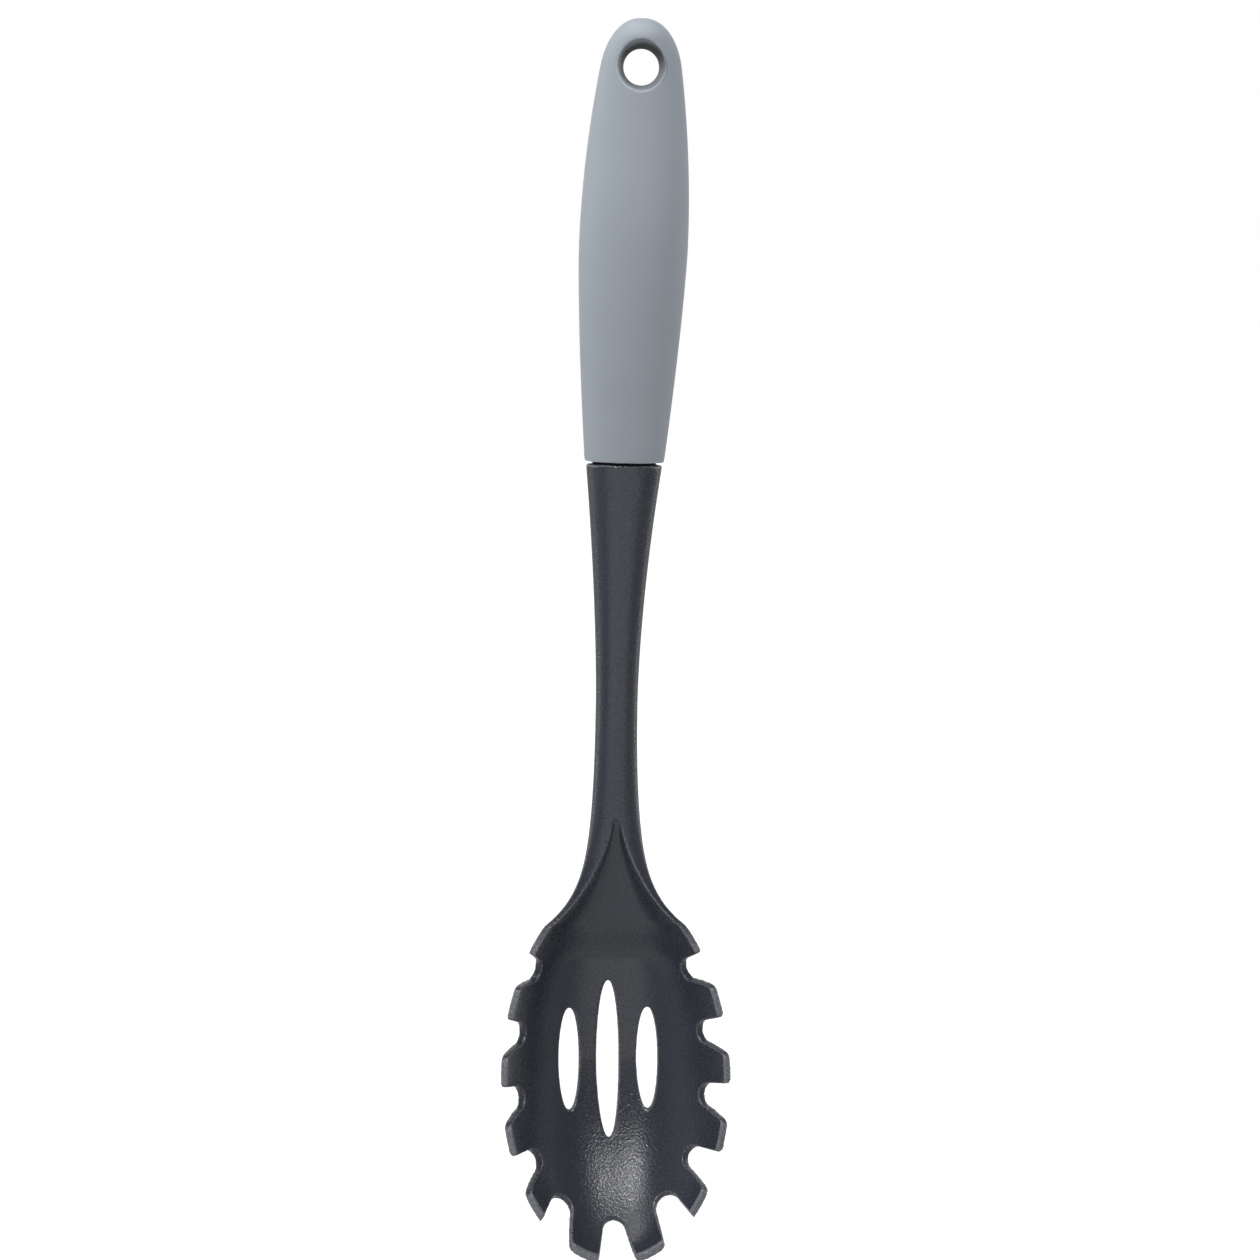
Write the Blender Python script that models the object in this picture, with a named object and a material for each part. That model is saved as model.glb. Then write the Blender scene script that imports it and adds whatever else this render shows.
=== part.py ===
# Spaghetti server: a pronged nylon bowl on a long shank, held in a soft-skinned handle.
# Metres, +Z up along the handle, the concave side of the bowl faces -Y.
# The origin is the centre of the hanging hole, half way through the handle.

import math

import bmesh
import bpy
from mathutils import Matrix, Vector

# Handle
GRIP_END_ABOVE_HOLE = 0.0124     # end of the handle above the hanging hole's centre
GRIP_END_BELOW_HOLE = 0.1064     # the other end, at the joint with the shank
GRIP_WIDTH_AT_HOLE = 0.0218
GRIP_WIDTH_AT_PALM = 0.02965
GRIP_WIDTH_AT_JOINT = 0.0221
GRIP_DEPTH_AT_HOLE = 0.0118
GRIP_DEPTH_AT_PALM = 0.0196
GRIP_DEPTH_AT_JOINT = 0.0140
PALM_BELOW_HOLE = 0.048          # where the handle is widest
GRIP_END_ROUND = 0.0130          # length over which the handle's end rounds off
GRIP_SKIN = 0.0020               # soft layer over the core
HOLE_WAIST = 0.0094              # hanging hole, narrowest
HOLE_MOUTH = 0.0133              # hanging hole where it meets the surface
HOLE_SLEEVE = 0.0132             # soft lining of the hole, between the core's halves
JOINT_SLANT = 0.09               # rise per length of the joint's plane, towards the front

# Handle core and tang
CLEARANCE = 0.0003               # gap between neighbouring pieces
CORE_WALL = 0.0022
EYE_LENGTH = 0.0115              # core kept solid below the hanging hole's centre
COLLAR_LENGTH = 0.0030           # part of the collar that plugs into the grip
GROOVE_HEIGHT = 0.0008           # dark line between grip and shank
CORE_END_SOLID = 0.0080          # core kept solid round the tang at the joint
TANG_LENGTH = 0.0640
TANG_ROOT_WIDTH = 0.0120
TANG_TIP_WIDTH = 0.0090
TANG_DEPTH = 0.0046
PIN_DIAMETER = 0.0040            # locating pins of the core, through the tang
PIN_BOSS_DIAMETER = 0.0076
PIN_SPACING = 0.0280
PIN_FROM_TANG_TIP = 0.0100

# Shank
SHANK_TOP_WIDTH = 0.0213
SHANK_TOP_DEPTH = 0.0125
NECK_WIDTH = 0.0119
NECK_DEPTH = 0.0086
NECK_BELOW_JOINT = 0.0670
SHOULDER_BELOW_JOINT = 0.1272
SHOULDER_FORWARD = 0.02335       # how far the shoulders stand in front of the handle's axis

# Bowl
RIM_TILT = math.radians(21.7)    # the rim's plane leans forward towards its tip
DRAW_TILT = math.radians(11.5)   # direction in which the bowl is drawn from its mould
BOWL_WIDTH = 0.0642
BOWL_DEPTH = 0.0220              # outer depth, from the prong tips
RIM_ABOVE_WIDEST = 0.0530        # egg outline, towards the shank
RIM_BELOW_WIDEST = 0.0523        # egg outline, towards the tip
SHOULDER_ABOVE_WIDEST = 0.04065
ARCH_ABOVE_WIDEST = 0.0695       # point of the arch where the hollow starts
ARCH_TIP_WIDTH = 0.0022
ARCH_FRONT_HEIGHT = 0.0030       # crest of the shank's front at the arch, before its widest line
ARCH_BACK_DEPTH = 0.0051         # back of the shank at the arch, behind its widest line
ARCH_RAMP = 0.0080               # the hollow's floor drops quickly over this length, then gently
ARCH_RAMP_WALL = 0.0052          # nylon left under the floor at the ramp's end
RIM_BAND = 0.0017                # end face of the prongs
TIP_BAND = 0.0024                # the same at the tip
FLOOR_WALL = 0.0024
WALL_LEAN = math.radians(65)     # side wall against the rim's plane
END_WALL_LEAN = math.radians(52) # the wall at the tip
EDGE_OVERLAP = 0.0004            # the hollow's cutter starts this far in front of the rim

# Notches and slots
NOTCH_DEPTH = 0.0102             # prong length, square to the rim's plane
NOTCH_ROUND = 0.0032             # radius of a notch's floor
NOTCH_FLARE = math.radians(12.5)
PRONG_ROUND = 0.0028             # corner of a side prong that faces the shank
TIP_PRONG_ROUND = 0.0018         # corners of the two prongs at the tip
NOTCH_CUT_HEIGHT = 0.0150        # cutters, from the notch's floor and to both sides of the wall
NOTCH_CUT_IN = 0.0055
NOTCH_CUT_OUT = 0.0045
MIDDLE_SLOT_LENGTH = 0.0444
MIDDLE_SLOT_WIDTH = 0.0065
SIDE_SLOT_LENGTH = 0.0290
SIDE_SLOT_WIDTH = 0.0060
SLOT_SPACING = 0.0113
SIDE_NOTCHES = 4                 # on each side, cut square to the egg's outline
SIDE_NOTCH_FIRST = -0.0288       # middle of its mouth, along the egg's long axis from the widest place
SIDE_NOTCH_PITCH = 0.0186
CORNER_NOTCH_ALONG = 0.0374      # middle of its floor
CORNER_NOTCH_DEPTH = 0.0108
CORNER_NOTCH_HEADING = math.radians(64)
CORNER_NOTCH_ROUND = 0.0036
CORNER_NOTCH_FLARE = math.radians(10.5)
SIDE_RIM_SHIFT = -0.0002         # level of the rounded corners against the prongs' length, at the sides
END_RIM_SHIFT = 0.0002           # the same at the tip
NOTCH_ESCAPE = 0.0010            # a cutter runs out this far beyond a rounded corner

# Section shapes, as exponents of the rounded curves
SHANK_BACK_CURVE = (2.4, 2.0)
SHANK_FRONT_CURVE = (3.0, 2.0)
BOWL_CURVE = (3.0, 1.2)
ARCH_CURVE = (4.0, 1.2)
GRIP_CURVE = 2.2
GRIP_END_CURVE = 2.4
TANG_CURVE = 6.0

# Courses along the tool: exponents, and sums of (share, exponent)
PALM_COURSE = 1.42               # handle's width, from the joint to the palm
HOLE_COURSE = 2.0                # handle's width, from the palm to the hole
FLARE_COURSE = 1.2               # hanging hole, from its waist to its mouth
NECK_COURSE = 1.65               # shank's width, from the neck to the joint
TILT_COURSE = 1.5                # lean of the shank's sections, from the joint to the shoulders
SHOULDER_COURSE = ((0.36, 2.5), (0.64, 8.0))
ARCH_COURSE = ((0.9, 1.6), (0.1, 8.0))
EGG_COURSE = 1.85                # egg outline, towards the shank
EGG_END_COURSE = 2.15            # egg outline, towards the tip
DEPTH_COURSE = 2 / 3             # bowl's depth, towards the tip

# Shares of a depth
SHANK_FRONT = 0.49               # of the shank's depth, in front of its widest line at the joint
NECK_FRONT = 0.46                # the same at the neck
DEPTH_AT_SHOULDER = 0.57
UPPER_BOWL = 0.7                 # part of the way from the widest place up to the shoulders
DEPTH_AT_UPPER_BOWL = 0.845

# Fineness of the solids
HEAD_HALF_RING = 20              # steps across the front or the back of a section
HANDLE_HALF_RING = 14
HOLLOW_HALF_RING = 21            # differs from the head's, so that no edges fall together
SHANK_STEPS = 18
BOWL_STEPS = 24
HOLLOW_STEPS = 21
ARCH_STEPS = 11
GRIP_STEPS = 18
HOLE_STEPS = 28
HOLE_RINGS = 4                   # from the waist to each mouth
NOTCH_STEPS = 6                  # along half of a notch's round floor
PRONG_STEPS = 4                  # round a prong's corner
LAST_TURN = math.radians(87)     # of the egg's quarter turn: the tip is closed by a small flat face
HANDLE_END_GAP = 0.00005         # the same at the handle's end
SLOPE_STEP = 0.0001
SHARP_EDGE = math.radians(35)
WELD_DISTANCE = 0.000004         # slivers left by the cuts close up

NYLON_COLOUR = (0.055, 0.058, 0.066)
CORE_COLOUR = (0.20, 0.21, 0.23)
SKIN_COLOUR = (0.33, 0.37, 0.41)

JOINT_Z = -GRIP_END_BELOW_HOLE
SHANK_TOP_Z = JOINT_Z - GROOVE_HEIGHT
COLLAR_TOP_Z = JOINT_Z + COLLAR_LENGTH
TANG_TIP_Z = JOINT_Z + TANG_LENGTH
RIM_DOWN = Vector((0, -math.sin(RIM_TILT), -math.cos(RIM_TILT)))
BOWL_IN = Vector((0, math.cos(DRAW_TILT), -math.sin(DRAW_TILT)))
SHOULDER = Vector((0, -SHOULDER_FORWARD, SHANK_TOP_Z - SHOULDER_BELOW_JOINT))
WIDEST = SHOULDER + RIM_DOWN * SHOULDER_ABOVE_WIDEST
INNER_END = RIM_BELOW_WIDEST - TIP_BAND


def clear_scene():
    for obj in list(bpy.data.objects):
        bpy.data.objects.remove(obj, do_unlink=True)


def moulded(name, colour, roughness):
    material = bpy.data.materials.new(name)
    material.use_nodes = True
    shader = material.node_tree.nodes["Principled BSDF"]
    shader.inputs["Base Color"].default_value = (*colour, 1.0)
    shader.inputs["Roughness"].default_value = roughness
    shader.inputs["Metallic"].default_value = 0.0
    material.diffuse_color = (*colour, 1.0)
    return material


def add_object(name, bm, material=None):
    bmesh.ops.recalc_face_normals(bm, faces=bm.faces)
    mesh = bpy.data.meshes.new(name)
    bm.to_mesh(mesh)
    bm.free()
    if material:
        mesh.materials.append(material)
        mesh.shade_smooth()
        mesh.set_sharp_from_angle(angle=SHARP_EDGE)
    obj = bpy.data.objects.new(name, mesh)
    bpy.context.scene.collection.objects.link(obj)
    return obj


def combine(obj, tool, operation, solver="EXACT"):
    tool.hide_render = True
    tool.display_type = "WIRE"
    modifier = obj.modifiers.new(tool.name, "BOOLEAN")
    modifier.operation = operation
    modifier.solver = solver
    modifier.object = tool


def weld(obj):
    modifier = obj.modifiers.new("weld", "WELD")
    modifier.merge_threshold = WELD_DISTANCE


def add_loft(bm, rings):
    # Rings of equally many points, joined in order and filled at both ends.
    loops = [[bm.verts.new(point) for point in points] for points in rings]
    for near, far in zip(loops, loops[1:]):
        for i in range(len(near)):
            bm.faces.new((near[i - 1], near[i], far[i], far[i - 1]))
    bm.faces.new(loops[0][::-1])
    bm.faces.new(loops[-1])


def loft(name, rings, material=None):
    bm = bmesh.new()
    add_loft(bm, rings)
    return add_object(name, bm, material)


def add_prism(bm, outline, start, end):
    # The outline is extruded from one offset to the other.
    verts = [bm.verts.new(point + start) for point in outline]
    face = bm.faces.new(verts)
    grown = bmesh.ops.extrude_face_region(bm, geom=[face])["geom"]
    moved = [item for item in grown if isinstance(item, bmesh.types.BMVert)]
    bmesh.ops.translate(bm, verts=moved, vec=end - start)


def add_cylinder(bm, centre, start_y, end_y, radius):
    middle = centre + Vector((0, (start_y + end_y) / 2, 0))
    turned = Matrix.Translation(middle) @ Matrix.Rotation(math.pi / 2, 4, "X")
    bmesh.ops.create_cone(bm, cap_ends=True, segments=HOLE_STEPS, radius1=radius, radius2=radius,
                          depth=abs(end_y - start_y), matrix=turned)


def smooth_value(knots, x):
    # Smooth curve through (x, value) knots that never overshoots them.
    if x <= knots[0][0]:
        return knots[0][1]
    if x >= knots[-1][0]:
        return knots[-1][1]
    slopes = [(b[1] - a[1]) / (b[0] - a[0]) for a, b in zip(knots, knots[1:])]
    inner = [0.0 if a * b <= 0 else 2 * a * b / (a + b) for a, b in zip(slopes, slopes[1:])]
    tangents = [slopes[0]] + inner + [slopes[-1]]
    i = max(k for k in range(len(slopes)) if x >= knots[k][0])
    width = knots[i + 1][0] - knots[i][0]
    t = (x - knots[i][0]) / width
    near = (2 * t ** 3 - 3 * t ** 2 + 1) * knots[i][1] + (t ** 3 - 2 * t ** 2 + t) * width * tangents[i]
    far = (3 * t ** 2 - 2 * t ** 3) * knots[i + 1][1] + (t ** 3 - t ** 2) * width * tangents[i + 1]
    return near + far


def mix(a, b, share):
    return a + (b - a) * share


def rounded(u, curve):
    power, root = curve
    return max(0.0, 1 - abs(u) ** power) ** (1 / root)


def course(parts, t):
    return sum(share * t ** power for share, power in parts)


def ring_steps(count):
    return [math.sin(math.pi * (i / count - 0.5)) for i in range(count + 1)]


def section(origin, inward, half_width, front, back, count):
    # Closed ring: across the back from left to right, then across the front to the left.
    steps = ring_steps(count)
    ring = [origin + Vector((u * half_width, 0, 0)) + inward * back(u) for u in steps[:-1]]
    ring += [origin + Vector((u * half_width, 0, 0)) + inward * front(u) for u in reversed(steps[1:])]
    return ring


def oval(z, half_width, half_depth, power, count=HANDLE_HALF_RING):
    curve = (power, power)
    middle = Vector((0, 0, z))
    return section(middle, Vector((0, 1, 0)), half_width, lambda u: -half_depth * rounded(u, curve),
                   lambda u: half_depth * rounded(u, curve), count)


def slanted(ring):
    # The handle's end, the collar's and the shank's top share a plane that rises to the front.
    return [point - Vector((0, 0, point.y * JOINT_SLANT)) for point in ring]


# The handle


def end_rounding(z, inset, length, power):
    left = max(0.0, (GRIP_END_ABOVE_HOLE - inset - z) / length)
    return rounded(max(0.0, 1 - left), (power, power))


def handle_half_width(z, inset=0.0):
    if z < -PALM_BELOW_HOLE:
        share = (z - JOINT_Z) / (GRIP_END_BELOW_HOLE - PALM_BELOW_HOLE)
        width = mix(GRIP_WIDTH_AT_JOINT, GRIP_WIDTH_AT_PALM, 1 - (1 - max(share, 0)) ** PALM_COURSE)
    else:
        width = mix(GRIP_WIDTH_AT_PALM, GRIP_WIDTH_AT_HOLE, (1 + z / PALM_BELOW_HOLE) ** HOLE_COURSE)
    return (width / 2 - inset) * end_rounding(z, inset, GRIP_END_ROUND, GRIP_END_CURVE)


def handle_half_depth(z, inset=0.0):
    knots = [(JOINT_Z, GRIP_DEPTH_AT_JOINT),
             (-PALM_BELOW_HOLE, GRIP_DEPTH_AT_PALM),
             (0, GRIP_DEPTH_AT_HOLE),
             (GRIP_END_ABOVE_HOLE, GRIP_DEPTH_AT_HOLE)]
    half_round = GRIP_DEPTH_AT_HOLE / 2
    return (smooth_value(knots, z) / 2 - inset) * end_rounding(z, inset, half_round, 2)


def handle_rings(low, high, inset=0.0):
    # Rings from low to high, closer together where the end rounds off.
    steps = [math.sin(math.pi / 2 * i / GRIP_STEPS) for i in range(GRIP_STEPS + 1)]
    return [oval(z, handle_half_width(z, inset), handle_half_depth(z, inset), GRIP_CURVE)
            for z in (mix(low, high, step) for step in steps)]


def handle_end(inset):
    return GRIP_END_ABOVE_HOLE - inset - HANDLE_END_GAP


def hanging_hole(name):
    # Flared both ways from the waist, and a little beyond the surface.
    rings = []
    reach = GRIP_DEPTH_AT_HOLE / 2
    turns = [2 * math.pi * k / HOLE_STEPS for k in range(HOLE_STEPS)]
    for i in range(-HOLE_RINGS - 1, HOLE_RINGS + 2):
        share = i / HOLE_RINGS
        radius = mix(HOLE_WAIST, HOLE_MOUTH, abs(share) ** FLARE_COURSE) / 2
        rings.append([Vector((radius * math.cos(turn), share * reach, radius * math.sin(turn)))
                      for turn in turns])
    return loft(name, rings)


def hole_sleeve(name, clearance):
    bm = bmesh.new()
    reach = GRIP_DEPTH_AT_HOLE
    add_cylinder(bm, Vector((0, 0, 0)), -reach, reach, HOLE_SLEEVE / 2 + clearance)
    return add_object(name, bm)


def build_grip(material):
    rings = handle_rings(JOINT_Z, handle_end(0))
    grip = loft("soft_grip", [slanted(rings[0])] + rings[1:], material)
    pocket = loft("grip_pocket", handle_rings(JOINT_Z - GRIP_SKIN, handle_end(GRIP_SKIN), GRIP_SKIN))
    combine(pocket, hole_sleeve("grip_sleeve", 0), "DIFFERENCE")
    combine(grip, pocket, "DIFFERENCE")
    combine(grip, hanging_hole("grip_hole"), "DIFFERENCE")


def pin_centres():
    top = TANG_TIP_Z - PIN_FROM_TANG_TIP
    return [Vector((0, 0, top)), Vector((0, 0, top - PIN_SPACING))]


def build_core(name, side, material):
    # side is -1 for the front half and 1 for the back half.
    inset = GRIP_SKIN + CLEARANCE
    inner = inset + CORE_WALL
    low = COLLAR_TOP_Z + CLEARANCE
    core = loft(name, handle_rings(low, handle_end(inset), inset), material)
    hollow = loft(name + "_hollow", handle_rings(low + CORE_END_SOLID, -EYE_LENGTH, inner))
    combine(core, hollow, "DIFFERENCE")
    tang_space = [tang_ring(z, CLEARANCE) for z in (low - CORE_WALL, TANG_TIP_Z + CLEARANCE)]
    combine(core, loft(name + "_pocket", tang_space), "DIFFERENCE")

    half = bmesh.new()
    reach = GRIP_DEPTH_AT_PALM
    bmesh.ops.create_cube(half, size=1)
    bmesh.ops.scale(half, vec=(2 * GRIP_WIDTH_AT_PALM, reach, 4 * GRIP_END_BELOW_HOLE), verts=half.verts)
    bmesh.ops.translate(half, vec=(0, side * (reach + CLEARANCE) / 2, 0), verts=half.verts)
    # The exact solver leaves open edges along the split.
    combine(core, add_object(name + "_half", half), "INTERSECT", "MANIFOLD")

    pads = bmesh.new()
    face = TANG_DEPTH / 2 + CLEARANCE
    for centre in pin_centres():
        wall = handle_half_depth(centre.z, inner) + CORE_WALL / 2
        add_cylinder(pads, centre, side * face, side * wall, PIN_BOSS_DIAMETER / 2)
    combine(core, add_object(name + "_pads", pads), "UNION")

    holes = bmesh.new()
    pins = bmesh.new()
    for centre in pin_centres():
        wall = handle_half_depth(centre.z, inner)
        add_cylinder(holes, centre, 0, wall, PIN_DIAMETER / 2 + CLEARANCE)
        add_cylinder(pins, centre, -wall, wall - CLEARANCE, PIN_DIAMETER / 2)
    if side > 0:
        combine(core, add_object(name + "_sockets", holes), "DIFFERENCE")
        pins.free()
    else:
        combine(core, add_object(name + "_pins", pins), "UNION")
        holes.free()
    combine(core, hole_sleeve(name + "_eye", CLEARANCE), "DIFFERENCE")


# The head: tang, collar, shank and bowl in one


def tang_ring(z, clearance=0.0, count=HANDLE_HALF_RING):
    share = (z - COLLAR_TOP_Z) / (TANG_TIP_Z - COLLAR_TOP_Z)
    width = mix(TANG_ROOT_WIDTH, TANG_TIP_WIDTH, share)
    return oval(z, width / 2 + clearance, TANG_DEPTH / 2 + clearance, TANG_CURVE, count)


def egg_half_width(along, shrink=0.0):
    # Half width of the egg-shaped rim at a distance along its long axis from the widest place.
    if along < 0:
        share = (-along / (RIM_ABOVE_WIDEST - shrink)) ** EGG_COURSE
    else:
        share = (along / (RIM_BELOW_WIDEST - shrink)) ** EGG_END_COURSE
    return (BOWL_WIDTH / 2 - shrink) * math.sqrt(max(0.0, 1 - share))


def egg_heading(along):
    # Direction square to the egg's outline, seen from the front, 0 pointing sideways.
    rise = egg_half_width(along + SLOPE_STEP) - egg_half_width(along - SLOPE_STEP)
    return math.atan(-rise / (2 * SLOPE_STEP))


def shank_half_width(share):
    neck_at = NECK_BELOW_JOINT / SHOULDER_BELOW_JOINT
    if share < neck_at:
        return mix(NECK_WIDTH, SHANK_TOP_WIDTH, (1 - share / neck_at) ** NECK_COURSE) / 2
    t = (share - neck_at) / (1 - neck_at)
    return mix(NECK_WIDTH / 2, egg_half_width(-SHOULDER_ABOVE_WIDEST), course(SHOULDER_COURSE, t))


def band_rise():
    return RIM_BAND / math.tan(WALL_LEAN)


def neck_along():
    return NECK_BELOW_JOINT - SHOULDER_BELOW_JOINT - SHOULDER_ABOVE_WIDEST


def joint_along():
    return -SHOULDER_BELOW_JOINT - SHOULDER_ABOVE_WIDEST


def front_height(along):
    # How far the crest of the front stands in front of the widest line.
    knots = [(joint_along(), SHANK_TOP_DEPTH * SHANK_FRONT),
             (neck_along(), NECK_DEPTH * NECK_FRONT),
             (-ARCH_ABOVE_WIDEST, ARCH_FRONT_HEIGHT),
             (-SHOULDER_ABOVE_WIDEST, band_rise())]
    return smooth_value(knots, along)


def back_depth(along):
    # How far the back stands behind the widest line, on the middle line.
    if along >= 0:
        return BOWL_DEPTH * end_share(along, RIM_BELOW_WIDEST)
    knots = [(joint_along(), SHANK_TOP_DEPTH * (1 - SHANK_FRONT)),
             (neck_along(), NECK_DEPTH * (1 - NECK_FRONT)),
             (-ARCH_ABOVE_WIDEST, ARCH_BACK_DEPTH),
             (-SHOULDER_ABOVE_WIDEST, BOWL_DEPTH * DEPTH_AT_SHOULDER),
             (-SHOULDER_ABOVE_WIDEST * UPPER_BOWL, BOWL_DEPTH * DEPTH_AT_UPPER_BOWL),
             (0, BOWL_DEPTH)]
    return smooth_value(knots, along)


def end_share(along, end):
    return max(0.0, 1 - (along / end) ** 2) ** DEPTH_COURSE


def bowl_share(along):
    # 0 on the shank, 1 on the bowl.
    return smooth_value([(-ARCH_ABOVE_WIDEST, 0), (-SHOULDER_ABOVE_WIDEST, 1)], along)


def head_section(origin, inward, along, half_width):
    share = bowl_share(along)
    back_curve = [mix(a, b, share) for a, b in zip(SHANK_BACK_CURVE, BOWL_CURVE)]
    widest = BOWL_WIDTH / 2
    out = max(0.0, 1 - (half_width / widest) ** 2)

    def front(u):
        crown = rounded(u, SHANK_FRONT_CURVE)
        radius = math.sqrt(out + (u * half_width / widest) ** 2)
        band = min(1.0, max(0.0, 1 - radius) * widest / RIM_BAND)
        return -front_height(along) * mix(crown, band, share)

    def back(u):
        return back_depth(along) * rounded(u, back_curve)

    return section(origin, inward, half_width, front, back, HEAD_HALF_RING)


def shank_line(share):
    # Point of the widest line at a share of the way from the joint to the shoulders.
    power = math.tan(RIM_TILT) * SHOULDER_BELOW_JOINT / SHOULDER_FORWARD
    return Vector((0, -SHOULDER_FORWARD * share ** power, SHANK_TOP_Z - SHOULDER_BELOW_JOINT * share))


def shank_rings():
    rings = []
    for i in range(SHANK_STEPS):
        share = math.sin(math.pi / 2 * i / SHANK_STEPS)
        tilt = DRAW_TILT * share ** TILT_COURSE
        inward = Vector((0, math.cos(tilt), -math.sin(tilt)))
        along = (share - 1) * SHOULDER_BELOW_JOINT - SHOULDER_ABOVE_WIDEST
        rings.append(head_section(shank_line(share), inward, along, shank_half_width(share)))
    return [slanted(rings[0])] + rings[1:]


def bowl_steps(start, end, count):
    # Stations from start to near the end of the egg, closer together towards the end.
    turn_from = math.asin(start / RIM_ABOVE_WIDEST)
    steps = []
    for i in range(count + 1):
        turn = mix(turn_from, LAST_TURN, i / count)
        steps.append(math.sin(turn) * (RIM_ABOVE_WIDEST if turn < 0 else end))
    return steps


def bowl_rings():
    return [head_section(WIDEST + RIM_DOWN * along, BOWL_IN, along, egg_half_width(along))
            for along in bowl_steps(-SHOULDER_ABOVE_WIDEST, RIM_BELOW_WIDEST, BOWL_STEPS)]


def widest_line(along):
    # Point of the head's widest line, on the bowl or up on the shank.
    if along >= -SHOULDER_ABOVE_WIDEST:
        return WIDEST + RIM_DOWN * along
    return shank_line(1 + (along + SHOULDER_ABOVE_WIDEST) / SHOULDER_BELOW_JOINT)


def wall_under_hollow(along):
    # Nylon between the hollow's floor and the back: all of the shank above the arch, then ever less.
    whole = ARCH_FRONT_HEIGHT + ARCH_BACK_DEPTH
    knots = [(-ARCH_ABOVE_WIDEST - ARCH_TIP_WIDTH, whole + FLOOR_WALL / 2),
             (-ARCH_ABOVE_WIDEST, whole),
             (-ARCH_ABOVE_WIDEST + ARCH_RAMP, ARCH_RAMP_WALL),
             (-SHOULDER_ABOVE_WIDEST * UPPER_BOWL, FLOOR_WALL)]
    return smooth_value(knots, along)


def hollow_section(along, half_width):
    # Ring of the tool that cuts the hollow: its floor from left to right, then a lid well in front.
    rim = front_height(along) + EDGE_OVERLAP
    if along > 0:
        floor = (BOWL_DEPTH - FLOOR_WALL) * end_share(along, INNER_END)
    else:
        floor = back_depth(along) - wall_under_hollow(along)
    curve = [mix(a, b, bowl_share(along)) for a, b in zip(ARCH_CURVE, BOWL_CURVE)]
    origin = widest_line(along)
    across = Vector((half_width, 0, 0))
    lid = BOWL_IN * (-BOWL_DEPTH / 2)
    ring = [origin + across * u + BOWL_IN * mix(-rim, floor, rounded(u, curve))
            for u in ring_steps(HOLLOW_HALF_RING)]
    return ring + [origin + across + lid, origin - across + lid]


def hollow_rings():
    shoulder = egg_half_width(-SHOULDER_ABOVE_WIDEST, RIM_BAND)
    rings = [hollow_section(-ARCH_ABOVE_WIDEST - ARCH_TIP_WIDTH, ARCH_TIP_WIDTH / 2)]
    for i in range(ARCH_STEPS):
        share = i / ARCH_STEPS
        along = -mix(ARCH_ABOVE_WIDEST, SHOULDER_ABOVE_WIDEST, share)
        half_width = mix(ARCH_TIP_WIDTH / 2, shoulder, course(ARCH_COURSE, share))
        rings.append(hollow_section(along, half_width))
    for along in bowl_steps(-SHOULDER_ABOVE_WIDEST, INNER_END, HOLLOW_STEPS):
        rings.append(hollow_section(along, inner_half_width(along)))
    return rings


def inner_half_width(along):
    if along < 0:
        return egg_half_width(along, RIM_BAND)
    return (BOWL_WIDTH / 2 - RIM_BAND) * math.sqrt(max(0.0, 1 - (along / INNER_END) ** EGG_END_COURSE))


def wall_foot(along, depth):
    # Sideways place on the outer wall where it is so deep.
    share = min(1.0, depth / back_depth(along))
    power, root = BOWL_CURVE
    return (1 - share ** root) ** (1 / power) * egg_half_width(along)


def notch_half(radius, flare, level, corner):
    # Half of a notch's outline as (sideways, up): round floor, flared wall, then past the rim.
    turns = [(math.pi / 2 - flare) * i / NOTCH_STEPS for i in range(NOTCH_STEPS + 1)]
    points = [(radius * math.sin(turn), radius * (1 - math.cos(turn))) for turn in turns]
    across, up = points[-1]
    if corner:
        centre = level - corner
        across += (centre + corner * math.sin(flare) - up) * math.tan(flare) + corner * math.cos(flare)
        for i in range(PRONG_STEPS + 1):
            turn = mix(flare, math.pi / 2, i / PRONG_STEPS)
            points.append((across - corner * math.cos(turn), centre + corner * math.sin(turn)))
        points.append((across + NOTCH_ESCAPE, level + NOTCH_ESCAPE / 2))
        points.append((across + NOTCH_ESCAPE, NOTCH_CUT_HEIGHT))
    else:
        points.append((across + (NOTCH_CUT_HEIGHT - up) * math.tan(flare), NOTCH_CUT_HEIGHT))
    return points


def add_notch(bm, foot, heading, lean, halves):
    # The U stands square to the wall; its halves lie to the left and right of the heading.
    plan = Vector((math.cos(heading), 0, 0)) + RIM_DOWN * math.sin(heading)
    out = plan * math.sin(lean) + BOWL_IN * math.cos(lean)
    up = plan * math.cos(lean) - BOWL_IN * math.sin(lean)
    side = out.cross(up)
    left, right = halves
    outline = [(-across, rise) for across, rise in reversed(left[1:])] + right
    points = [foot + side * across + up * rise for across, rise in outline]
    add_prism(bm, points, out * -NOTCH_CUT_IN, out * NOTCH_CUT_OUT)


def wall_point(side, along, depth):
    return widest_line(along) + BOWL_IN * depth + Vector((side * wall_foot(along, depth), 0, 0))


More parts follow.
